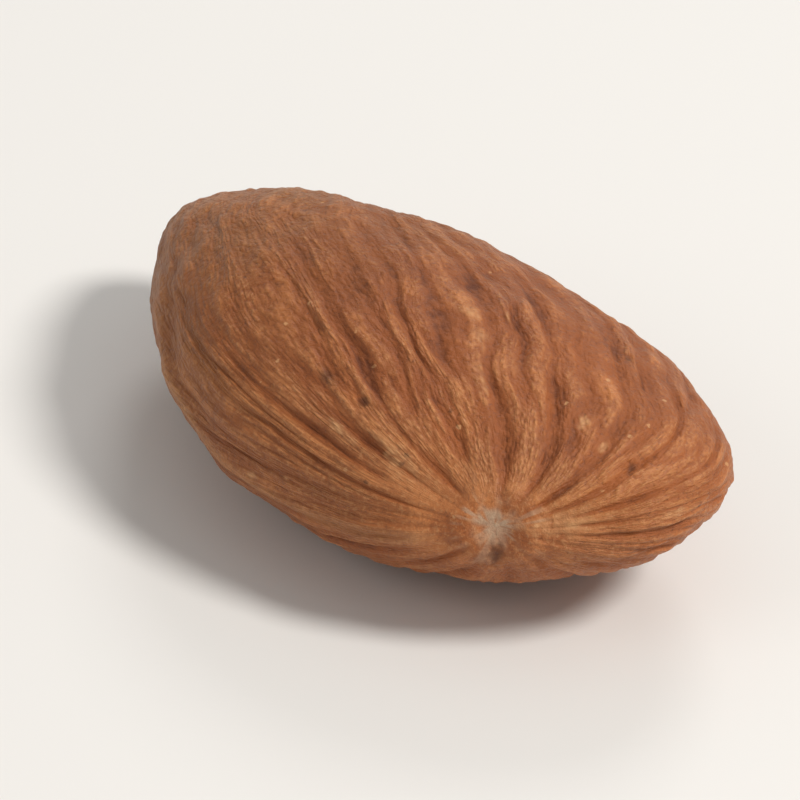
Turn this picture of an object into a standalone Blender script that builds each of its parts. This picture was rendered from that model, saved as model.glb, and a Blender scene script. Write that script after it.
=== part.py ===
# An almond kernel in its brown skin, lying on its flatter side.
# X runs from the pointed tip (-X) to the broad end (+X), Z is the thickness, metres.
import math

import bmesh
import bpy
from mathutils import Vector, noise

# Driving dimensions
LENGTH = 0.0245
WIDTH = 0.0132
THICKNESS = 0.0080
REST_DEPTH = 0.00014  # how much of the belly the flat resting spot takes off

# Body, as shares of the dimension they act on
WIDTH_EGG = 0.09  # the broad end is wider than the tip end by this share
THICKNESS_EGG = 0.02
SIDE_BOW = -0.10  # the middle stands out towards -Y, the seam side
TIP_TAPER = 0.25
TIP_LEAN = 0.03
TIP_DROP = -0.04
NOSE_LIFT = 0.11  # the broad end rises from the surface
TIP_NIB = 0.00035  # small point at the very tip
NIB_SPREAD = 0.42

# Fan of wrinkles: its furrows leave the scar, cross both faces and die out on the far edge
SCAR_DIRECTION = Vector((0.709, -0.681, 0.183)).normalized()
MEETING_DIRECTION = Vector((-0.62, 0.77, -0.15)).normalized()
FURROWS = 44
LINES_PER_FURROW = 4
RINGS = 33
RING_PULL = 0.15  # gathers the mesh rings towards the scar and the far edge
FURROW_DEPTH = 0.00016
FURROW_HALF_WIDTH = 0.19  # of the sharp groove, as a share of the furrows' spacing
GROOVE_SHARE = 0.60  # the rest of the depth is the round fall of the crests

# How a furrow runs along its way, with shares counted from the scar to the far edge
FIRST_STARTS = 0.02
FORK_STARTS = 0.13  # every second furrow starts later, between two others
FORK_SPREAD = 0.16
FORK_BLEND = 0.12
FORKS_DONE = 0.35  # up to here the first furrows are wider, as they have more room
FAR_FADE = 0.80
DEPTH_MEAN = 0.80
DEPTH_LEAST = 0.06
DEPTH_VARIATION = 1.8
DEPTH_CHANGES = 7.0
FURROW_STEP = 7.3  # apart in the noise, so that each furrow has values of its own
START_ROW = 3.1
DEPTH_ROW = 0.2

# How far the furrows stray sideways, radians
WANDER = 0.075
WANDER_SCALE = 2.1
WOBBLE = 0.022
WOBBLE_SCALE = 5.5
SPACING_CHANGE = 0.055  # makes neighbouring furrows closer or wider apart
SPACING_CIRCLE = 5.0
SPACING_LENGTH = 4.5

# Where the furrows are deep: in the middle of both faces, and as rays round the scar
FACE_DIRECTION = Vector((0.42, -0.12, 0.90)).normalized()
OTHER_FACE = Vector((0.42, -0.12, -0.90)).normalized()
FACE_SPREAD = 0.64
RAY_PLACE = 0.14
RAY_SPREAD = 0.15
RAY_HEIGHTS = (-0.35, 0.35)  # the rays come in between these, away from the kernel's edge
RAY_SIDES = (-0.15, 0.55)  # and between these, away from its tip half
ELSEWHERE_SHARE = 0.26
TIP_FADE = (0.20, -0.80)  # from here to here towards the tip the furrows lose depth
TIP_KEEPS = 0.25

# Uneven skin, scar and seam
LUMP_HEIGHT = 0.00016
LUMP_SCALE = 330.0
LUMP_FADE = (-0.45, -0.95)
LUMP_KEEPS = 0.35  # of the lumps' height at the very tip
SCAR_RADIUS = 0.00065
SCAR_DEPTH = 0.00016
SCAR_RIM = 0.45  # height of its raised rim, as a share of its depth
SCAR_RIM_PLACE = 1.7
SCAR_RIM_WIDTH = 0.7
SEAM_HEIGHT = 0.00012
SEAM_HALF_WIDTH = 0.10
SEAM_DIP = -0.15
SEAM_CURVE = 0.80
SEAM_LOW_POINT = 0.05
SEAM_FROM_TIP = (-0.92, -0.40)  # the rib comes in between these
SEAM_TO_SCAR = (0.66, 0.50)
SEAM_SIDE = -0.2
SEAM_GROOVE = 0.5  # depth of the groove beside the rib, as a share of its height
SEAM_GROOVE_PLACE = 1.6
BELLY_FADE = 0.0006  # height above the resting spot over which the relief comes in
CUT_SNAP = 0.00002

SKIN_COLOUR = (0.287, 0.098, 0.041, 1.0)
SKIN_ROUGHNESS = 0.55
SHARP_ANGLE = math.radians(50.0)


def smooth_step(low, high, value):
    share = min(1.0, max(0.0, (value - low) / (high - low)))
    return share * share * (3.0 - 2.0 * share)


def hill(distance, width):
    return math.exp(-((distance / width) ** 2))


def fan_axes():
    # the sphere's two poles go to the scar and to where the wrinkles meet again
    pole = (SCAR_DIRECTION - MEETING_DIRECTION).normalized()
    side = (SCAR_DIRECTION + MEETING_DIRECTION).normalized()
    shift = math.tan((math.pi - SCAR_DIRECTION.angle(MEETING_DIRECTION)) / 2.0)
    return pole, side, pole.cross(side), shift


def fan_direction(around, away, axes):
    # around: angle about the fan's axis; away: 0 at the scar, pi where the wrinkles meet
    pole, side, third, shift = axes
    turn = side * math.cos(around) + third * math.sin(around)
    return (pole * math.cos(away) + turn * math.sin(away) + side * shift).normalized()


def body_point(direction):
    # carries a direction on the unit sphere to the smooth almond
    u = direction.x
    tip_share = max(0.0, -u) ** 3
    nose_share = max(0.0, u) ** 3
    taper = 1.0 - TIP_TAPER * tip_share
    nib = hill(math.hypot(direction.y, direction.z), NIB_SPREAD) if u < 0.0 else 0.0
    x = LENGTH / 2.0 * u - TIP_NIB * nib
    y = WIDTH / 2.0 * direction.y * taper * (1.0 + WIDTH_EGG * u)
    y += WIDTH * (SIDE_BOW * (1.0 - u * u) + TIP_LEAN * tip_share)
    z = THICKNESS / 2.0 * direction.z * taper * (1.0 + THICKNESS_EGG * u)
    z += THICKNESS * (NOSE_LIFT * nose_share + TIP_DROP * tip_share)
    return Vector((x, y, z))


def sideways(around, away):
    # how far the furrows stray from their even places round the fan
    circle = Vector((math.cos(around), math.sin(around), 0.0))
    place = circle * math.sin(away) + Vector((0.0, 0.0, math.cos(away)))
    spacing = circle * SPACING_CIRCLE + Vector((0.0, 0.0, SPACING_LENGTH * away / math.pi))
    stray = WANDER * noise.noise(place * WANDER_SCALE) + WOBBLE * noise.noise(place * WOBBLE_SCALE)
    return (stray + SPACING_CHANGE * noise.noise(spacing)) * math.sin(away)


def furrow_strength(index, share):
    # each furrow has its own start and its own deep and shallow stretches
    starts = FIRST_STARTS
    if index % 2 == 1:
        own = 0.5 + noise.noise(Vector((index * FURROW_STEP, START_ROW, 0.0)))
        starts = FORK_STARTS + FORK_SPREAD * own
    change = noise.noise(Vector((index * FURROW_STEP, DEPTH_ROW, DEPTH_CHANGES * share)))
    depth = max(DEPTH_LEAST, DEPTH_MEAN + DEPTH_VARIATION * change)
    return depth * smooth_step(starts, starts + FORK_BLEND, share)


def place_share(direction, share):
    # how much of their depth the furrows have here
    away = min((direction - FACE_DIRECTION).length, (direction - OTHER_FACE).length)
    rays = hill(share - RAY_PLACE, RAY_SPREAD)
    rays *= smooth_step(*RAY_HEIGHTS, abs(direction.z)) * smooth_step(*RAY_SIDES, direction.x)
    most = max(hill(away, FACE_SPREAD), rays)
    tip = (1.0 - TIP_KEEPS) * smooth_step(*TIP_FADE, direction.x)
    return (ELSEWHERE_SHARE + (1.0 - ELSEWHERE_SHARE) * most) * (1.0 - tip)


def wrinkle_height(around, share, direction):
    # height of the skin under its crests
    place = around / (2.0 * math.pi) * FURROWS
    nearest = round(place)
    span = 2.0 - smooth_step(FIRST_STARTS, FORKS_DONE, share)
    height = 0.0
    for index in (nearest - 1, nearest, nearest + 1):
        away = (place - index) / span
        fall = math.cos(math.pi * away) ** 2 if abs(away) < 0.5 else 0.0
        dip = GROOVE_SHARE * hill(away, FURROW_HALF_WIDTH) + (1.0 - GROOVE_SHARE) * fall
        height -= dip * furrow_strength(index % FURROWS, share)
    return FURROW_DEPTH * height * place_share(direction, share) * smooth_step(1.0, FAR_FADE, share)


def lump_height(direction, point):
    # broad unevenness of the body, calmer at the tip
    tip = (1.0 - LUMP_KEEPS) * smooth_step(*LUMP_FADE, direction.x)
    return LUMP_HEIGHT * noise.noise(point * LUMP_SCALE) * (1.0 - tip)


def seam_height(direction):
    # low rib, with a groove beside it, along the edge that links the tip to the scar
    if direction.y > SEAM_SIDE:
        return 0.0
    middle = SEAM_DIP + SEAM_CURVE * (direction.x - SEAM_LOW_POINT) ** 2
    offset = (direction.z - middle) / SEAM_HALF_WIDTH
    along = smooth_step(*SEAM_FROM_TIP, direction.x) * smooth_step(*SEAM_TO_SCAR, direction.x)
    return SEAM_HEIGHT * along * (hill(offset, 1.0) - SEAM_GROOVE * hill(offset - SEAM_GROOVE_PLACE, 1.0))


def scar_height(point, scar_point):
    distance = (point - scar_point).length / SCAR_RADIUS
    return SCAR_DEPTH * (SCAR_RIM * hill(distance - SCAR_RIM_PLACE, SCAR_RIM_WIDTH) - hill(distance, 1.0))


def shape_kernel(mesh):
    # returns the level at which the belly is cut flat
    axes = fan_axes()
    scar_point = body_point(SCAR_DIRECTION)
    bmesh.ops.create_uvsphere(mesh, u_segments=FURROWS * LINES_PER_FURROW, v_segments=RINGS, radius=1.0)
    places = []
    for vert in mesh.verts:
        even = math.acos(max(-1.0, min(1.0, vert.co.z)))
        away = even - RING_PULL * math.sin(2.0 * even)
        around = math.atan2(vert.co.y, vert.co.x) % (2.0 * math.pi)
        direction = fan_direction(around + sideways(around, away), away, axes)
        places.append((vert, around, away / math.pi, direction))
        vert.co = body_point(direction)
    mesh.normal_update()
    lowest = min(vert.co.z for vert in mesh.verts)
    for vert, around, share, direction in places:
        smooth = vert.co.copy()
        relief = wrinkle_height(around, share, direction)
        relief += seam_height(direction) + scar_height(smooth, scar_point)
        relief += lump_height(direction, smooth)
        belly = smooth_step(REST_DEPTH, REST_DEPTH + BELLY_FADE, smooth.z - lowest)
        vert.co = smooth + vert.normal * relief * belly
    return lowest + REST_DEPTH


def press_rest(mesh, level):
    # cuts the belly flat where the kernel lies, and closes the cut with one face
    everything = mesh.verts[:] + mesh.edges[:] + mesh.faces[:]
    bmesh.ops.bisect_plane(
        mesh, geom=everything, dist=CUT_SNAP, plane_co=(0.0, 0.0, level), plane_no=(0.0, 0.0, -1.0),
        use_snap_center=True, clear_outer=True,
    )
    rim = [edge for edge in mesh.edges if edge.is_boundary]
    bmesh.ops.holes_fill(mesh, edges=rim, sides=0)


def centre_on_rest(mesh):
    # origin: the middle of the footprint's box, on the surface that the kernel lies on
    middle = []
    for axis in (0, 1):
        values = [vert.co[axis] for vert in mesh.verts]
        middle.append((min(values) + max(values)) / 2.0)
    lowest = min(vert.co.z for vert in mesh.verts)
    bmesh.ops.translate(mesh, verts=mesh.verts, vec=(-middle[0], -middle[1], -lowest))


def skin_material():
    material = bpy.data.materials.new("almond_skin")
    material.use_nodes = True
    shader = material.node_tree.nodes["Principled BSDF"]
    shader.inputs["Base Color"].default_value = SKIN_COLOUR
    shader.inputs["Roughness"].default_value = SKIN_ROUGHNESS
    shader.inputs["Metallic"].default_value = 0.0
    material.diffuse_color = SKIN_COLOUR
    return material


def make_almond():
    mesh = bmesh.new()
    level = shape_kernel(mesh)
    press_rest(mesh, level)
    centre_on_rest(mesh)
    bmesh.ops.recalc_face_normals(mesh, faces=mesh.faces)
    data = bpy.data.meshes.new("almond")
    mesh.to_mesh(data)
    mesh.free()
    data.shade_smooth()
    data.set_sharp_from_angle(angle=SHARP_ANGLE)
    data.materials.append(skin_material())
    almond = bpy.data.objects.new("almond", data)
    bpy.context.scene.collection.objects.link(almond)


for item in list(bpy.data.objects):
    bpy.data.objects.remove(item, do_unlink=True)
make_almond()
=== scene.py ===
# One shelled almond lying on a pale table, seen from above its near side.
import math

import bmesh
import bpy
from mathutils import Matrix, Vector, noise


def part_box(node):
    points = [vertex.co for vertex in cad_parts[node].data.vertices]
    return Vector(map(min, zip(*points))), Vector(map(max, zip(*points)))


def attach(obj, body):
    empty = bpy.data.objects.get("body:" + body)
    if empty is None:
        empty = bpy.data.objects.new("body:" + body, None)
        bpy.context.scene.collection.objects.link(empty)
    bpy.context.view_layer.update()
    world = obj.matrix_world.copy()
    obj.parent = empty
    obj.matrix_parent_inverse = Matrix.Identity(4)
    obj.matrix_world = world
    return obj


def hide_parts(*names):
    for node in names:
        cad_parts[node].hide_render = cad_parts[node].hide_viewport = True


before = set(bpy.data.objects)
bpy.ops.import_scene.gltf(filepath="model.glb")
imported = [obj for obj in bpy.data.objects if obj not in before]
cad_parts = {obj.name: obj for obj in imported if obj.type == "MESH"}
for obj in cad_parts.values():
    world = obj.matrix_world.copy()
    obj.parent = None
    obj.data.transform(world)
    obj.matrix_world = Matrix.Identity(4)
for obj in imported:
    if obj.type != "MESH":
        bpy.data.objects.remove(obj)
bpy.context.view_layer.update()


class Shade:
    # wraps an output socket, so that sums and products of shades add their own Math nodes
    def __init__(self, tree, socket=None):
        self.tree = tree
        self.socket = socket

    def node(self, kind, settings=None, sockets=None, out=0):
        made = self.tree.nodes.new(kind)
        for name, value in (settings or {}).items():
            setattr(made, name, value)
        for name, value in (sockets or {}).items():
            if isinstance(value, Shade):
                self.tree.links.new(value.socket, made.inputs[name])
            else:
                made.inputs[name].default_value = value
        return Shade(self.tree, made.outputs[out])

    def math(self, operation, first, second):
        return self.node("ShaderNodeMath", {"operation": operation}, {0: first, 1: second})

    def __add__(self, other):
        return self.math("ADD", self, other)

    def __radd__(self, other):
        return self.math("ADD", other, self)

    def __sub__(self, other):
        return self.math("SUBTRACT", self, other)

    def __rsub__(self, other):
        return self.math("SUBTRACT", other, self)

    def __mul__(self, other):
        return self.math("MULTIPLY", self, other)

    def __rmul__(self, other):
        return self.math("MULTIPLY", other, self)

    def ramp(self, low, high):
        return self.node(
            "ShaderNodeMapRange", {"interpolation_type": "SMOOTHSTEP"},
            {"Value": self, "From Min": low, "From Max": high},
        )


def smoothStep(low, high, value):
    share = min(1.0, max(0.0, (value - low) / (high - low)))
    return share * share * (3.0 - 2.0 * share)


def hill(distance, width):
    return math.exp(-((distance / width) ** 2))


# The kernel's form is the solid's own body and wrinkles, with finer skin on them.
# Lengths are in metres, and a place on the kernel is the direction from its middle.
kernelLow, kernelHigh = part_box("almond")
kernelSize = kernelHigh - kernelLow
boxOver = {"length": 1.0113, "width": 1.0088, "thickness": 0.9845}  # the solid's box over its plain body
kernel = {
    "lines": 432,  # mesh lines round the fan of wrinkles
    "rings": 228,  # and along it
    "length": kernelSize.x / boxOver["length"],
    "width": kernelSize.y / boxOver["width"],
    "thickness": kernelSize.z / boxOver["thickness"],
    "restDepth": 0.00014,  # cut off below for the flat spot
    "cutSnap": 0.00001,
    "endPower": 3,  # how late the forms of the two ends set in
    "widthEgg": 0.09,
    "thicknessEgg": 0.02,
    "sideBow": -0.10,
    "tipTaper": 0.25,
    "tipLean": 0.03,
    "tipDrop": -0.04,
    "noseLift": 0.11,
    "tipNib": 0.00035,
    "nibSpread": 0.42,
    "lumpHeight": 0.00016,
    "lumpScale": 330.0,
    "lumpFade": (-0.45, -0.95),
    "lumpKeeps": 0.35,
    "bellyFade": 0.0006,  # the height over the flat spot within which the relief dies away
}
fan = {
    "scar": Vector((0.709, -0.681, 0.183)).normalized(),
    "meeting": Vector((-0.62, 0.77, -0.15)).normalized(),
    "ringPull": 0.15,  # gathers the mesh rings towards the scar and the far edge
    "furrows": 44,
    "depth": 0.00016,
    "halfWidth": 0.19,  # of the sharp groove, as a share of the furrows' spacing
    "grooveShare": 0.60,
    "firstStarts": 0.02,
    "forkStarts": 0.13,
    "forkSpread": 0.16,
    "forkBlend": 0.12,
    "forksDone": 0.35,
    "farFade": 0.80,
    "depthMean": 0.80,
    "depthLeast": 0.06,
    "depthVariation": 1.8,
    "depthChanges": 7.0,
    "furrowStep": 7.3,  # apart in the noise, so that each furrow has values of its own
    "startRow": 3.1,
    "depthRow": 0.2,
    "wander": 0.075,
    "wanderScale": 2.1,
    "wobble": 0.022,
    "wobbleScale": 5.5,
    "spacingChange": 0.055,
    "spacingCircle": 5.0,
    "spacingLength": 4.5,
    "face": Vector((0.42, -0.12, 0.90)).normalized(),  # the furrows are deepest round these two
    "otherFace": Vector((0.42, -0.12, -0.90)).normalized(),
    "faceSpread": 0.64,
    "rayPlace": 0.14,  # and round the scar, as rays
    "raySpread": 0.15,
    "rayHeights": (-0.35, 0.35),
    "raySides": (-0.15, 0.55),
    "elsewhereShare": 0.26,
    "tipFade": (0.20, -0.80),
    "tipKeeps": 0.25,
}
finer = {
    "scarFade": (0.08, 0.28),  # the fan's own texture comes in away from the scar
    "meetingFade": (0.93, 0.72),  # and is gone before its lines meet
    "creaseDepth": 0.00006,  # creases between the furrows
    "creaseLeast": 0.40,  # of their depth, away from the furrowed places
    "wideCrease": (12.0, 7.0),  # how often it changes round the fan, and along it
    "wideCreaseWidth": 0.34,
    "smallCrease": (19.0, 13.0),
    "smallCreaseWidth": 0.38,
    "smallCreaseShare": 0.6,
    "smallCreaseRow": 4.0,
    "fibreHeight": 0.00002,
    "fibre": (30.0, 24.0),
    "pebbleHeight": 0.00006,
    "pebble": (8.0, 17.0),
    "pebbleShare": 0.9,
    "smallPebble": (15.0, 36.0),
    "smallPebbleShare": 0.6,
    "smallPebbleRow": 3.0,
    "evenScale": 600.0,  # pebbles without a direction, where the fan's lines meet
    "evenShare": 0.9,
    "smallEvenScale": 1100.0,
    "smallEvenShare": 0.5,
    "looseScale": 1500.0,  # and over all of the skin
    "looseShare": 0.35,
    "pebbleFade": (0.02, 0.16),
    "pebbleMost": 1.35,
    "pebbleLess": 0.6,  # less of them in the furrowed places
    "grainHeight": 0.000015,
    "grainScale": 3600.0,
    # crest slope and crease: how much furrows and creases lower the crest share, and with it the colour,
    # partly as painted shade
    "crestSlope": 0.9,
    "crestCrease": 0.50,
}
scar = {
    "radius": 0.00065,
    "depth": 0.00016,
    "rim": 0.45,
    "rimPlace": 1.7,
    "rimWidth": 0.7,
    "paleRadius": 0.00072,
    "tear": 0.5,  # how ragged the pale patch's edge is
    "tearRound": 1.3,
    "tearRow": 5.0,
    "tearScale": 2600.0,
    "worn": 0.85,  # how much of the patch is rubbed back to brown, in streaks along the fan
    "wornRound": 3.0,
    "wornScale": 3000.0,
    "wornMore": 0.1,
    "rayRadius": 0.00180,
    "rayShare": 0.8,
    "rayRound": 5.0,
    "rayFrom": (-0.05, 0.35),
    "rayBreaks": (-0.4, 0.5),
    "rayBreakScale": 1500.0,
}
seam = {
    "height": 0.00012,
    "halfWidth": 0.10,
    "dip": -0.15,
    "curve": 0.80,
    "lowPoint": 0.05,
    "fromTip": (-0.92, -0.40),
    "toScar": (0.66, 0.50),
    "side": -0.2,
    "groove": 0.5,
    "groovePlace": 1.6,
}
pits = {
    "depth": 0.00010,
    "radius": 0.00018,
    "stretch": 1.7,  # longer along the fan than across it
    "places": [
        Vector((0.22, -0.65, 0.73)),
        Vector((0.08, -0.64, 0.76)),
        Vector((-0.28, -0.38, 0.88)),
        Vector((0.72, -0.69, -0.06)),
        Vector((0.87, -0.14, 0.47)),
        Vector((0.54, 0.47, 0.69)),
    ],
}
paintedHighlights = {
    "radius": 0.00028,  # painted highlights: long pale stretches of crest where the crests shine
    "stretch": 3.2,
    "places": [
        Vector((0.42, -0.19, 0.89)),
        Vector((0.24, 0.05, 0.97)),
        Vector((0.29, 0.18, 0.94)),
        Vector((0.40, -0.75, 0.53)),
        Vector((0.23, -0.78, 0.58)),
        Vector((0.69, -0.09, 0.72)),
        Vector((0.85, -0.49, 0.20)),
        Vector((0.99, -0.11, 0.08)),
    ],
}
flecks = {
    # pale raised flecks: partly the skin's own flecks, partly painted highlight on bright spots of the
    # crests
    "height": 0.00002,
    "radius": 0.00013,
    "stretch": 2.2,
    "places": [
        Vector((0.00, -1.00, -0.06)),
        Vector((0.20, -0.79, 0.57)),
        Vector((0.13, -0.99, 0.10)),
        Vector((0.69, -0.09, 0.72)),
        Vector((0.78, -0.14, 0.61)),
        Vector((0.86, -0.48, 0.17)),
        Vector((0.40, -0.76, 0.51)),
        Vector((0.99, -0.08, 0.10)),
    ],
}
spotEdge = {
    "ragged": 0.9,
    "scale": 4200.0,
    "sizeChange": 0.5,  # spots differ in size by up to this share
    "turn": 2.4,  # from one spot to the next in the sine that sets their sizes
    "step": 0.02,  # along the fan, to find the way in which it runs
    "none": 9.0,  # farther than any spot reaches
}
paintedShares = ("crestShare", "pebbleShare", "scarShare", "seamShare", "pitShare", "fleckShare", "highlightShare")


def fanAxes():
    # the sphere's two poles go to the scar and to where the wrinkles meet again
    pole = (fan["scar"] - fan["meeting"]).normalized()
    side = (fan["scar"] + fan["meeting"]).normalized()
    shift = math.tan((math.pi - fan["scar"].angle(fan["meeting"])) / 2.0)
    return pole, side, pole.cross(side), shift


def fanDirection(around, away, axes):
    pole, side, third, shift = axes
    turn = side * math.cos(around) + third * math.sin(around)
    return (pole * math.cos(away) + turn * math.sin(away) + side * shift).normalized()


def bodyPoint(direction):
    u = direction.x
    tipShare = max(0.0, -u) ** kernel["endPower"]
    noseShare = max(0.0, u) ** kernel["endPower"]
    taper = 1.0 - kernel["tipTaper"] * tipShare
    nib = hill(math.hypot(direction.y, direction.z), kernel["nibSpread"]) if u < 0.0 else 0.0
    x = kernel["length"] / 2.0 * u - kernel["tipNib"] * nib
    y = kernel["width"] / 2.0 * direction.y * taper * (1.0 + kernel["widthEgg"] * u)
    y += kernel["width"] * (kernel["sideBow"] * (1.0 - u * u) + kernel["tipLean"] * tipShare)
    z = kernel["thickness"] / 2.0 * direction.z * taper * (1.0 + kernel["thicknessEgg"] * u)
    z += kernel["thickness"] * (kernel["noseLift"] * noseShare + kernel["tipDrop"] * tipShare)
    return Vector((x, y, z))


def sideways(around, away):
    # how far the furrows stray from their even places round the fan, radians
    circle = Vector((math.cos(around), math.sin(around), 0.0))
    place = circle * math.sin(away) + Vector((0.0, 0.0, math.cos(away)))
    spacing = circle * fan["spacingCircle"] + Vector((0.0, 0.0, fan["spacingLength"] * away / math.pi))
    stray = fan["wander"] * noise.noise(place * fan["wanderScale"])
    stray += fan["wobble"] * noise.noise(place * fan["wobbleScale"])
    return (stray + fan["spacingChange"] * noise.noise(spacing)) * math.sin(away)


def furrowStrength(index, share):
    # each furrow has its own start and its own deep and shallow stretches
    starts = fan["firstStarts"]
    if index % 2 == 1:
        own = 0.5 + noise.noise(Vector((index * fan["furrowStep"], fan["startRow"], 0.0)))
        starts = fan["forkStarts"] + fan["forkSpread"] * own
    change = noise.noise(Vector((index * fan["furrowStep"], fan["depthRow"], fan["depthChanges"] * share)))
    depth = max(fan["depthLeast"], fan["depthMean"] + fan["depthVariation"] * change)
    return depth * smoothStep(starts, starts + fan["forkBlend"], share)


def placeShare(direction, share):
    # how much of their depth the furrows have here
    away = min((direction - fan["face"]).length, (direction - fan["otherFace"]).length)
    rays = hill(share - fan["rayPlace"], fan["raySpread"])
    rays *= smoothStep(*fan["rayHeights"], abs(direction.z)) * smoothStep(*fan["raySides"], direction.x)
    most = max(hill(away, fan["faceSpread"]), rays)
    tip = (1.0 - fan["tipKeeps"]) * smoothStep(*fan["tipFade"], direction.x)
    return (fan["elsewhereShare"] + (1.0 - fan["elsewhereShare"]) * most) * (1.0 - tip)


def furrowLevel(around, share, placed):
    # 0 on a crest, about -1 at the bottom of a deep furrow
    # the first furrows are twice as wide, until the forks have come in between them
    place = around / (2.0 * math.pi) * fan["furrows"]
    nearest = round(place)
    span = 2.0 - smoothStep(fan["firstStarts"], fan["forksDone"], share)
    level = 0.0
    for index in (nearest - 1, nearest, nearest + 1):
        away = (place - index) / span
        fall = math.cos(math.pi * away) ** 2 if abs(away) < 0.5 else 0.0
        dip = fan["grooveShare"] * hill(away, fan["halfWidth"]) + (1.0 - fan["grooveShare"]) * fall
        level -= dip * furrowStrength(index % fan["furrows"], share)
    return level * placed * smoothStep(1.0, fan["farFade"], share)


def lumpHeight(direction, point):
    tip = (1.0 - kernel["lumpKeeps"]) * smoothStep(*kernel["lumpFade"], direction.x)
    return kernel["lumpHeight"] * noise.noise(point * kernel["lumpScale"]) * (1.0 - tip)


def fanNoise(circle, share, changes, row=0.0):
    # noise that follows the fan, with how often it changes round the fan and along it
    roundFan, alongFan = changes
    return noise.noise(circle * roundFan + Vector((row, 0.0, alongFan * share)))


def fanFade(share):
    return smoothStep(*finer["scarFade"], share) * smoothStep(*finer["meetingFade"], share)


def creaseLevel(circle, share):
    # finer creases that part and join between the furrows, 0 to about 1.6
    wide = abs(fanNoise(circle, share, finer["wideCrease"]))
    small = abs(fanNoise(circle, share, finer["smallCrease"], finer["smallCreaseRow"]))
    crease = 1.0 - smoothStep(0.0, finer["wideCreaseWidth"], wide)
    crease += finer["smallCreaseShare"] * (1.0 - smoothStep(0.0, finer["smallCreaseWidth"], small))
    return crease * fanFade(share)


def fibres(circle, share):
    return fanNoise(circle, share, finer["fibre"]) * fanFade(share)


def pebbles(circle, share, smooth):
    # small swellings, a little longer along the fan than across it
    drawn = finer["pebbleShare"] * fanNoise(circle, share, finer["pebble"])
    small = fanNoise(circle, share, finer["smallPebble"], finer["smallPebbleRow"])
    drawn += finer["smallPebbleShare"] * small
    even = finer["evenShare"] * noise.noise(smooth * finer["evenScale"])
    even += finer["smallEvenShare"] * noise.noise(smooth * finer["smallEvenScale"])
    loose = finer["looseShare"] * noise.noise(smooth * finer["looseScale"])
    fanned = smoothStep(*finer["meetingFade"], share)
    return (drawn * fanned + even * (1.0 - fanned) + loose) * smoothStep(*finer["pebbleFade"], share)


def seamRib(direction):
    if direction.y > seam["side"]:
        return 0.0
    middle = seam["dip"] + seam["curve"] * (direction.x - seam["lowPoint"]) ** 2
    offset = (direction.z - middle) / seam["halfWidth"]
    along = smoothStep(*seam["fromTip"], direction.x) * smoothStep(*seam["toScar"], direction.x)
    return along * (hill(offset, 1.0) - seam["groove"] * hill(offset - seam["groovePlace"], 1.0))


def scarDish(distance):
    near = distance / scar["radius"]
    return scar["depth"] * (scar["rim"] * hill(near - scar["rimPlace"], scar["rimWidth"]) - hill(near, 1.0))


def scarPaleness(offset, circle):
    # a ragged pale patch in the middle, and thin pale rays that leave it along the fan
    edge = noise.noise(circle * scar["tearRound"] + Vector((0.0, 0.0, scar["tearRow"])))
    torn = 1.0 + scar["tear"] * (edge + noise.noise(offset * scar["tearScale"]))
    patch = hill(offset.length, scar["paleRadius"] * torn)
    worn = noise.noise(circle * scar["wornRound"] + offset * scar["wornScale"])
    patch *= 1.0 - scar["worn"] * max(0.0, worn + scar["wornMore"])
    rays = smoothStep(*scar["rayFrom"], noise.noise(circle * scar["rayRound"]))
    rays *= smoothStep(*scar["rayBreaks"], noise.noise(offset * scar["rayBreakScale"]))
    return max(patch, scar["rayShare"] * rays * hill(offset.length, scar["rayRadius"]))


def spotFrames(places, axes):
    # each spot's point on the kernel, and the way in which the fan runs there
    pole, side, third, shift = axes
    frames = []
    for place in places:
        direction = place.normalized()
        along = direction.dot(side) * shift
        turn = direction * (along + math.sqrt(along * along - shift * shift + 1.0)) - side * shift
        away = math.acos(max(-1.0, min(1.0, turn.dot(pole))))
        around = math.atan2(turn.dot(third), turn.dot(side))
        ahead = bodyPoint(fanDirection(around, away + spotEdge["step"], axes))
        point = bodyPoint(direction)
        frames.append((point, (ahead - point).normalized()))
    return frames


def nearSpots(smooth, frames, spots):
    # 1 at the middle of a spot, ragged at its edge, 0 well away from them all
    ragged = 1.0 + spotEdge["ragged"] * noise.noise(smooth * spotEdge["scale"])
    nearest = spotEdge["none"]
    for number, (point, tangent) in enumerate(frames):
        offset = smooth - point
        along = offset.dot(tangent)
        across = math.sqrt(max(0.0, offset.length_squared - along * along))
        own = spots["radius"] * (1.0 + spotEdge["sizeChange"] * math.sin(number * spotEdge["turn"]))
        nearest = min(nearest, math.hypot(along / spots["stretch"], across) / own)
    return hill(nearest, ragged)


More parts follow.
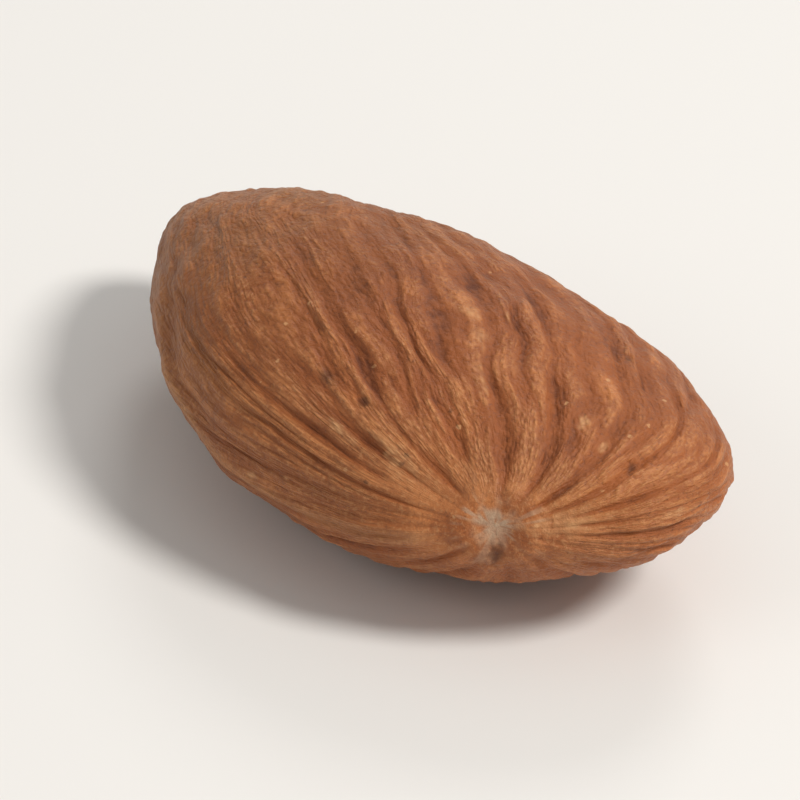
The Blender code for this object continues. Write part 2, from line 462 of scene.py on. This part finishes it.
def shapeKernel(mesh):
    # raises the skin point by point, and notes on each point what the material needs
    layers = {name: mesh.verts.layers.float.new(name) for name in paintedShares}
    fanLayer = mesh.verts.layers.float_vector.new("fanPlace")
    axes = fanAxes()
    scarPoint = bodyPoint(fan["scar"])
    pitFrames = spotFrames(pits["places"], axes)
    fleckFrames = spotFrames(flecks["places"], axes)
    highlightFrames = spotFrames(paintedHighlights["places"], axes)
    bmesh.ops.create_uvsphere(mesh, u_segments=kernel["lines"], v_segments=kernel["rings"], radius=1.0)
    places = []
    for vert in mesh.verts:
        even = math.acos(max(-1.0, min(1.0, vert.co.z)))
        away = even - fan["ringPull"] * math.sin(2.0 * even)
        around = math.atan2(vert.co.y, vert.co.x) % (2.0 * math.pi)
        direction = fanDirection(around + sideways(around, away), away, axes)
        places.append((vert, around, away / math.pi, direction))
        vert.co = bodyPoint(direction)
    mesh.normal_update()
    lowest = min(vert.co.z for vert in mesh.verts)
    for vert, around, share, direction in places:
        smooth = vert.co.copy()
        circle = Vector((math.cos(around), math.sin(around), 0.0))
        placed = placeShare(direction, share)
        level = furrowLevel(around, share, placed)
        crease = creaseLevel(circle, share) * (finer["creaseLeast"] + (1.0 - finer["creaseLeast"]) * placed)
        pebble = pebbles(circle, share, smooth)
        rib = seamRib(direction)
        pit = nearSpots(smooth, pitFrames, pits)
        fleck = nearSpots(smooth, fleckFrames, flecks)
        relief = fan["depth"] * level - finer["creaseDepth"] * crease
        relief += finer["fibreHeight"] * fibres(circle, share)
        relief += finer["pebbleHeight"] * pebble * (finer["pebbleMost"] - finer["pebbleLess"] * placed)
        relief += seam["height"] * rib + scarDish((smooth - scarPoint).length)
        relief += lumpHeight(direction, smooth)
        relief += finer["grainHeight"] * noise.noise(smooth * finer["grainScale"])
        relief += flecks["height"] * fleck - pits["depth"] * pit
        belly = smoothStep(kernel["restDepth"], kernel["restDepth"] + kernel["bellyFade"], smooth.z - lowest)
        vert.co = smooth + vert.normal * relief * belly
        # the crest share is low in furrows and creases; the colour darkens with it, partly as painted shade
        top = 1.0 + finer["crestSlope"] * level - finer["crestCrease"] * crease
        noted = {
            "crestShare": min(1.0, max(0.0, top)),
            "pebbleShare": 0.5 + 0.5 * pebble,  # brings -1 to 1 within 0 to 1
            "scarShare": scarPaleness(smooth - scarPoint, circle),
            "seamShare": rib,
            "pitShare": pit,
            "fleckShare": fleck,
            # painted highlight: long pale stretches of crest
            "highlightShare": nearSpots(smooth, highlightFrames, paintedHighlights),
        }
        for name, value in noted.items():
            vert[layers[name]] = value
        vert[fanLayer] = circle + Vector((0.0, 0.0, share))
    return lowest + kernel["restDepth"]


def pressRest(mesh, level):
    # cuts the flat spot and closes it, with a sharp rim
    everything = mesh.verts[:] + mesh.edges[:] + mesh.faces[:]
    bmesh.ops.bisect_plane(
        mesh, geom=everything, dist=kernel["cutSnap"], plane_co=(0.0, 0.0, level), plane_no=(0.0, 0.0, -1.0),
        use_snap_center=True, clear_outer=True,
    )
    rim = [edge for edge in mesh.edges if edge.is_boundary]
    filled = bmesh.ops.holes_fill(mesh, edges=rim, sides=0)
    for edge in rim:
        edge.smooth = False
    return filled["faces"]


def fitToBox(mesh, low, high):
    # brings the finer skin to the solid's own box
    ownLow = Vector([min(vert.co[axis] for vert in mesh.verts) for axis in range(3)])
    ownHigh = Vector([max(vert.co[axis] for vert in mesh.verts) for axis in range(3)])
    scale = [(high[axis] - low[axis]) / (ownHigh[axis] - ownLow[axis]) for axis in range(3)]
    bmesh.ops.translate(mesh, verts=mesh.verts, vec=-ownLow)
    bmesh.ops.scale(mesh, verts=mesh.verts, vec=scale)
    bmesh.ops.translate(mesh, verts=mesh.verts, vec=low)


def makeKernel():
    mesh = bmesh.new()
    level = shapeKernel(mesh)
    restFaces = pressRest(mesh, level)
    fitToBox(mesh, kernelLow, kernelHigh)
    for face in mesh.faces:
        face.smooth = True
    for face in restFaces:
        face.smooth = False
    data = bpy.data.meshes.new("kernelSkin")
    mesh.to_mesh(data)
    mesh.free()
    piece = bpy.data.objects.new("kernelSkin", data)
    bpy.context.scene.collection.objects.link(piece)
    print("kernel:", len(data.vertices), "points")
    return piece


skin = {
    # groove, flank and crest are set by how high each place stands: partly the skin's own tones, partly
    # painted shade in the grooves and painted highlight on the crests
    "groove": (0.105, 0.024, 0.006, 1.0),
    "flank": (0.265, 0.074, 0.018, 1.0),
    "crest": (0.480, 0.168, 0.050, 1.0),
    "golden": (0.245, 0.086, 0.013, 1.0),  # towards the tip
    "warm": (0.460, 0.135, 0.031, 1.0),  # towards the broad end
    # pale tan, for the powder on the crests and also for the painted highlights, flecks and seam line
    "paleTan": (0.640, 0.340, 0.150, 1.0),
    "rayPale": (0.640, 0.290, 0.110, 1.0),
    "scarPale": (0.480, 0.355, 0.245, 1.0),
    "pit": (0.055, 0.014, 0.005, 1.0),
}
texture = {
    "mottle": 300.0,
    "mottleNoise": (3.0, 0.55),  # detail and roughness
    "mottleContrast": (0.38, 0.62),
    "blotch": 1100.0,
    "blotchNoise": (4.0, 0.55),
    "contrast": (0.36, 0.64),
    "grain": 6500.0,
    "grainNoise": (3.0, 0.7),
    "grainMiddle": 0.5,
    "flake": 1300.0,
    "strand": (40.0, 40.0, 13.0),  # round the fan, and along it
    "strandNoise": (4.0, 0.6),
    "band": (6.0, 6.0, 3.5),
    "bandNoise": (3.0, 0.6),
    "granule": (44.0, 44.0, 80.0),
    "granuleSize": (0.10, 0.75),
    "granuleSoftness": 0.4,
    "granuleElsewhere": (0.2, 0.5),  # where the fan's lines have no room
    "scarFade": (0.04, 0.16),
    "meetingFade": (0.72, 0.92),
}
toneAndShade = {
    # crest and pebble: lighter where the skin stands high, partly painted shade and highlight
    "crest": 0.38,
    "pebble": 0.24,
    "streak": 0.15,
    "blotch": 0.13,
    "granule": 0.14,
    "band": 0.14,
    "lift": -0.03,
    "flank": (0.12, 0.52),
    "top": (0.52, 1.02),
}
coat = {
    "goldenEnds": (-0.10, 0.45),  # shares of the length, towards the tip
    "golden": (0.35, 0.30),  # how much everywhere there, and how much more by the mottle
    "warmEnds": (-0.05, 0.45),
    "warm": (0.15, 0.25),
    "powderGrain": (0.50, 0.66),
    "powderCrest": (0.45, 1.0),
    "paleTan": 0.30,
    "dustGrain": (0.54, 0.68),
    "dust": 0.40,
    "rayStart": (0.03, 0.10),  # pale crests round the scar, on the upper part only: partly the skin's own pale rays, partly painted highlight on the lit top
    "rayEnd": (0.22, 0.42),
    "rayCrest": (0.45, 0.95),
    "rayHeights": (0.30, 0.80),  # shares of the height
    "ray": (0.10, 0.34),
    "flakeTear": 0.30,
    "paleFlake": (0.13, 0.06),
    "paleChance": (0.86, 0.87),
    "paleMore": 0.06,  # towards the broad end
    "pale": 0.65,
    "darkFlake": (0.17, 0.07),
    "darkChance": (0.12, 0.11),
    "dark": 0.55,
    # painted highlight along the crests, in the pale tan
    "highlightEdge": (0.05, 0.95),
    "highlightCrest": (0.35, 0.85),
    "highlight": (0.20, 0.42),
    "scarEdge": (0.08, 0.80),
    "scar": (0.16, 0.36, 0.48),  # everywhere, by the blotches and by the grain
    # the seam's pale line: partly the seam's own paler line, partly painted sheen along the near edge
    "seamEdge": (0.25, 1.0),
    "seam": (0.05, 0.15, 0.25),
    # flecks: partly the skin's own pale flecks, partly painted highlight
    "fleckEdge": (0.20, 0.95),
    "fleck": (0.35, 0.50),
    "pitEdge": (0.12, 1.0),
    "pit": 0.68,
}
surface = {
    "roughness": 0.62,
    "crestPolish": 0.14,
    "grainRoughness": 0.5,
    "bumpStreak": 0.25,
    "bumpGranule": 0.45,
    "bumpGrain": 0.9,
    "bumpStrength": 0.8,
    "bumpHeight": 0.00008,
    "sockets": {
        "Specular IOR Level": 0.35,
        "Sheen Weight": 0.15,
        "Sheen Roughness": 0.25,
        "Sheen Tint": (1.0, 0.74, 0.50, 1.0),
    },
}


def skinMaterial():
    material = bpy.data.materials.new("almondSkin")
    material.use_nodes = True
    tree = material.node_tree
    shader = tree.nodes["Principled BSDF"]
    kit = Shade(tree)

    def blend(first, second, share):
        # a Mix node keeps its colours at sockets 6 and 7, and gives its colour at 2
        return kit.node("ShaderNodeMix", {"data_type": "RGBA"}, {0: share, 6: first, 7: second}, out=2)

    def painted(name):
        return kit.node("ShaderNodeAttribute", {"attribute_name": name}, out="Fac")

    def cloud(at, kind, scale=1.0):
        detail, roughness = kind
        sockets = {"Vector": at, "Scale": scale, "Detail": detail, "Roughness": roughness}
        return kit.node("ShaderNodeTexNoise", sockets=sockets, out="Fac")

    def stretched(at, scale):
        return kit.node("ShaderNodeMapping", sockets={"Vector": at, "Scale": scale})

    def part(at, axis):
        return kit.node("ShaderNodeSeparateXYZ", sockets={"Vector": at}, out=axis)

    def between(value, ends, size):
        return value.ramp(ends[0] * size, ends[1] * size)

    def amount(shares, pattern):
        # so much everywhere, and so much more by the pattern
        everywhere, more = shares
        return everywhere + pattern * more

    def roughAmount(shares):
        everywhere, byBlotch, byGrain = shares
        return everywhere + blotch * byBlotch + grain * byGrain

    place = kit.node("ShaderNodeTexCoord", out="Object")
    fanPlace = kit.node("ShaderNodeAttribute", {"attribute_name": "fanPlace"}, out="Vector")
    fanShare = part(fanPlace, "Z")
    along = part(place, "X")
    crest = painted("crestShare")

    # noise over all of the skin, and noise that follows the fan where its lines have room
    mottle = cloud(place, texture["mottleNoise"], texture["mottle"]).ramp(*texture["mottleContrast"])
    blotch = cloud(place, texture["blotchNoise"], texture["blotch"]).ramp(*texture["contrast"])
    grain = cloud(place, texture["grainNoise"], texture["grain"])
    fanned = fanShare.ramp(*texture["scarFade"]) * (1.0 - fanShare.ramp(*texture["meetingFade"]))
    strands = cloud(stretched(fanPlace, texture["strand"]), texture["strandNoise"])
    streak = strands.ramp(*texture["contrast"]) * fanned + blotch * (1.0 - fanned)
    bands = cloud(stretched(fanPlace, texture["band"]), texture["bandNoise"])
    band = bands.ramp(*texture["contrast"]) * fanned + mottle * (1.0 - fanned)
    granules = {"Vector": stretched(fanPlace, texture["granule"]), "Scale": 1.0}
    granules["Smoothness"] = texture["granuleSoftness"]
    granule = kit.node("ShaderNodeTexVoronoi", {"feature": "SMOOTH_F1"}, granules, out="Distance")
    granuleTop = (1.0 - granule.ramp(*texture["granuleSize"])) * fanned
    granuleTop = granuleTop + amount(texture["granuleElsewhere"], blotch) * (1.0 - fanned)

    # brown from the grooves up to the crests, by how high each place stands: partly the skin's own darker
    # furrows, partly painted shade in the grooves and creases and painted highlight on the crests and
    # pebbles
    level = crest * toneAndShade["crest"] + painted("pebbleShare") * toneAndShade["pebble"] + streak * toneAndShade["streak"]
    level = level + blotch * toneAndShade["blotch"] + granuleTop * toneAndShade["granule"] + band * toneAndShade["band"]
    level = level + toneAndShade["lift"]
    base = blend(skin["groove"], skin["flank"], level.ramp(*toneAndShade["flank"]))
    base = blend(base, skin["crest"], level.ramp(*toneAndShade["top"]))

    # the two ends' own browns
    toTip = between(along * -1.0, coat["goldenEnds"], kernelSize.x)
    base = blend(base, skin["golden"], toTip * amount(coat["golden"], mottle))
    toEnd = between(along, coat["warmEnds"], kernelSize.x)
    base = blend(base, skin["warm"], toEnd * amount(coat["warm"], mottle))

    # powder on the crests, dark dust between its grains, and pale crests round the scar on the upper part
    # only: partly the skin's own pale rays, partly painted highlight on the lit top
    powdered = grain.ramp(*coat["powderGrain"]) * crest.ramp(*coat["powderCrest"])
    base = blend(base, skin["paleTan"], powdered * coat["paleTan"])
    base = blend(base, skin["groove"], (1.0 - grain).ramp(*coat["dustGrain"]) * coat["dust"])
    rays = fanShare.ramp(*coat["rayStart"]) * (1.0 - fanShare.ramp(*coat["rayEnd"]))
    upper = between(part(place, "Z"), coat["rayHeights"], kernelSize.z)
    rays = rays * crest.ramp(*coat["rayCrest"]) * upper
    base = blend(base, skin["rayPale"], rays * amount(coat["ray"], granuleTop))

    # small flakes, pale or dark by each cell's own chance
    cells = {"Vector": place, "Scale": texture["flake"]}
    edge = kit.node("ShaderNodeTexVoronoi", sockets=cells, out="Distance")
    edge = edge + (grain - texture["grainMiddle"]) * coat["flakeTear"]
    chance = part(kit.node("ShaderNodeTexVoronoi", sockets=cells, out="Color"), "X")
    paleChance = chance + toEnd * coat["paleMore"]
    paleFlake = edge.ramp(*coat["paleFlake"]) * paleChance.ramp(*coat["paleChance"])
    darkFlake = edge.ramp(*coat["darkFlake"]) * chance.ramp(*coat["darkChance"])
    base = blend(base, skin["paleTan"], paleFlake * coat["pale"])
    # painted highlight: pale stretches along the crests where they shine, in the pale tan
    highlighted = painted("highlightShare").ramp(*coat["highlightEdge"]) * crest.ramp(*coat["highlightCrest"])
    base = blend(base, skin["paleTan"], highlighted * amount(coat["highlight"], granuleTop))
    base = blend(base, skin["pit"], darkFlake * coat["dark"])

    # the scar, the seam, and the flecks and pits that have places of their own
    scarred = painted("scarShare").ramp(*coat["scarEdge"]) * roughAmount(coat["scar"])
    base = blend(base, skin["scarPale"], scarred)
    # pale seam line: partly the seam's own paler line, partly painted sheen along the near edge
    seamed = painted("seamShare").ramp(*coat["seamEdge"]) * roughAmount(coat["seam"])
    base = blend(base, skin["paleTan"], seamed)
    # pale flecks: partly the skin's own flecks, partly painted highlight
    flecked = painted("fleckShare").ramp(*coat["fleckEdge"]) * amount(coat["fleck"], granuleTop)
    base = blend(base, skin["paleTan"], flecked)
    base = blend(base, skin["pit"], painted("pitShare").ramp(*coat["pitEdge"]) * coat["pit"])

    rough = surface["roughness"] - crest * surface["crestPolish"]
    rough = rough + (grain - texture["grainMiddle"]) * surface["grainRoughness"]
    height = streak * surface["bumpStreak"] + granuleTop * surface["bumpGranule"]
    height = height + grain * surface["bumpGrain"]
    bumps = {"Height": height, "Strength": surface["bumpStrength"], "Distance": surface["bumpHeight"]}
    bump = kit.node("ShaderNodeBump", sockets=bumps, out="Normal")
    tree.links.new(base.socket, shader.inputs["Base Color"])
    tree.links.new(rough.socket, shader.inputs["Roughness"])
    tree.links.new(bump.socket, shader.inputs["Normal"])
    for name, value in surface["sockets"].items():
        shader.inputs[name].default_value = value
    print("skin:", len(tree.nodes), "nodes")
    return material


piece = makeKernel()
piece.data.materials.append(skinMaterial())
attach(piece, "root")
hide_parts("almond")

table = {
    "size": 3.0,
    "colour": (0.80, 0.79, 0.77, 1.0),
    "roughness": 0.6,
}
view = {
    "azimuth": 47.5,
    "elevation": 35.0,
    "distance": 0.40,
    "lens": 560.0,
    "sensor": 36.0,
    "nearest": 0.01,
    "aimHeight": 0.42,  # as a share of the kernel's height
}
lights = {
    # turn from the view and elevation in degrees, distance, size, power and colour
    "keyLight": (70.0, 48.0, 0.6, 0.16, 2.9, (1.0, 0.97, 0.93)),
    "fillLight": (-70.0, 35.0, 0.7, 0.40, 0.5, (1.0, 0.97, 0.94)),
    "rimLight": (165.0, 35.0, 0.7, 0.25, 0.95, (1.0, 0.98, 0.96)),
}
room = {"colour": (1.0, 0.98, 0.95, 1.0), "strength": 0.38}


def makeTable():
    mesh = bmesh.new()
    bmesh.ops.create_grid(mesh, x_segments=1, y_segments=1, size=table["size"] / 2.0)
    data = bpy.data.meshes.new("tableTop")
    mesh.to_mesh(data)
    mesh.free()
    top = bpy.data.objects.new("tableTop", data)
    bpy.context.scene.collection.objects.link(top)
    material = bpy.data.materials.new("tablePaint")
    material.use_nodes = True
    shader = material.node_tree.nodes["Principled BSDF"]
    shader.inputs["Base Color"].default_value = table["colour"]
    shader.inputs["Roughness"].default_value = table["roughness"]
    data.materials.append(material)


def placeFrom(azimuth, elevation, distance):
    turn = math.radians(azimuth)
    rise = math.radians(elevation)
    level = Vector((math.sin(turn), -math.cos(turn), 0.0)) * math.cos(rise)
    return (level + Vector((0.0, 0.0, math.sin(rise)))) * distance


def aim(item, target):
    item.rotation_euler = (target - item.location).to_track_quat("-Z", "Y").to_euler()


def makeCamera():
    data = bpy.data.cameras.new("camera")
    data.lens = view["lens"]
    data.sensor_width = view["sensor"]
    data.clip_start = view["nearest"]
    camera = bpy.data.objects.new("camera", data)
    bpy.context.scene.collection.objects.link(camera)
    target = Vector((0.0, 0.0, kernelSize.z * view["aimHeight"]))
    camera.location = target + placeFrom(view["azimuth"], view["elevation"], view["distance"])
    aim(camera, target)
    bpy.context.scene.camera = camera


def makeLight(name, turn, elevation, distance, size, power, colour):
    data = bpy.data.lights.new(name, "AREA")
    data.shape = "DISK"
    data.size = size
    data.energy = power
    data.color = colour
    lamp = bpy.data.objects.new(name, data)
    bpy.context.scene.collection.objects.link(lamp)
    lamp.location = placeFrom(view["azimuth"] + turn, elevation, distance)
    aim(lamp, Vector((0.0, 0.0, 0.0)))


def makeWorld():
    world = bpy.data.worlds.new("studio")
    world.use_nodes = True
    background = world.node_tree.nodes["Background"]
    background.inputs["Color"].default_value = room["colour"]
    background.inputs["Strength"].default_value = room["strength"]
    bpy.context.scene.world = world


makeTable()
makeCamera()
for name, values in lights.items():
    makeLight(name, *values)
makeWorld()
bpy.context.scene.view_settings.view_transform = "Standard"
print("stage ready")
